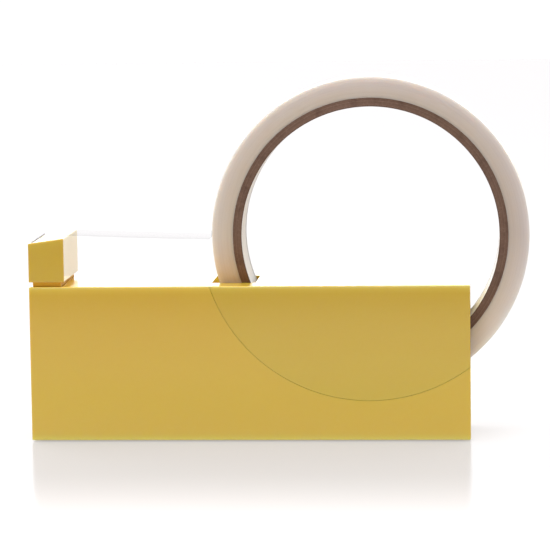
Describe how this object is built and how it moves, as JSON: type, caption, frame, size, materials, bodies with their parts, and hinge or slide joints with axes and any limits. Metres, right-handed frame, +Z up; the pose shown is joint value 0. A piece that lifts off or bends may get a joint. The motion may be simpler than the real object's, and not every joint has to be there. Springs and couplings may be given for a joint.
{
  "type": "tape dispenser",
  "caption": "Low block-shaped desktop tape dispenser with a full tape roll standing in a round pocket, a removable cover and a serrated cutter head.",
  "frame": {"origin": "centre of the block's footprint, on the surface that it stands on", "axes": "+X along the block from the cutter head to the roll, +Y from the front cover to the back, +Z up"},
  "size_m": [0.1475, 0.0294, 0.1069],
  "materials": {
    "yellow_body": "satin moulded plastic, mustard yellow",
    "yellow_cover": "satin moulded plastic, mustard yellow",
    "yellow_hub": "satin moulded plastic, mustard yellow",
    "yellow_head": "satin moulded plastic, mustard yellow",
    "plate_plastic": "fine texture, dark grey",
    "pad_rubber": "matt silicone",
    "weight_steel": "sawn and blackened",
    "screw_steel": "zinc plated",
    "insert_brass": "turned",
    "magnet_plating": "nickel plated",
    "blade_steel": "ground stainless steel",
    "pin_steel": "ground",
    "roller_plastic": "natural acetal",
    "tape_film": "clear film",
    "tape_winding": "layered translucent film",
    "core_board": "wound grey-brown board",
    "liner_paper": "smooth white paper"
  },
  "bodies": {
    "block": {"body_shell": "yellow_body", "bottom_plate": "plate_plastic", "bottom_plate_screws": "screw_steel", "body_inserts": "insert_brass", "anti_slip_pad": "pad_rubber", "counterweight": "weight_steel", "counterweight_screws": "screw_steel", "hub": "yellow_hub", "hub_screws": "screw_steel", "hub_inserts": "insert_brass", "hub_magnets": "magnet_plating", "cutter_head": "yellow_head", "head_screws": "screw_steel", "head_inserts": "insert_brass", "cutter_blade": "blade_steel", "tape_tail": "tape_film", "roller_pin_left": "pin_steel", "roller_pin_right": "pin_steel"},
    "cover": {"front_cover": "yellow_cover", "cover_magnets": "magnet_plating", "cover_locating_pins": "pin_steel"},
    "roll": {"tape_core": "core_board", "core_liner": "liner_paper", "tape_winding": "tape_winding"},
    "left_roller": {"roller_left": "roller_plastic"},
    "right_roller": {"roller_right": "roller_plastic"}
  },
  "joints": [
    {"name": "roll_spin", "type": "hinge", "parent": "block", "child": "roll", "pos_m": [0.0356, 0.0036, 0.06], "axis": [0, -1, 0], "continuous": true},
    {"name": "left_roller_spin", "type": "hinge", "parent": "block", "child": "left_roller", "pos_m": [0.01209, 0.0036, 0.01579], "axis": [0, -1, 0], "continuous": true},
    {"name": "right_roller_spin", "type": "hinge", "parent": "block", "child": "right_roller", "pos_m": [0.05911, 0.0036, 0.01579], "axis": [0, -1, 0], "continuous": true},
    {"name": "cover_pull", "type": "slide", "parent": "block", "child": "cover", "axis": [0, -1, 0], "range_m": [0, 0.03]}
  ],
  "couplings": [
    {"joint": "left_roller_spin", "follows": "roll_spin", "ratio": -15.64},
    {"joint": "right_roller_spin", "follows": "roll_spin", "ratio": -15.64}
  ]
}
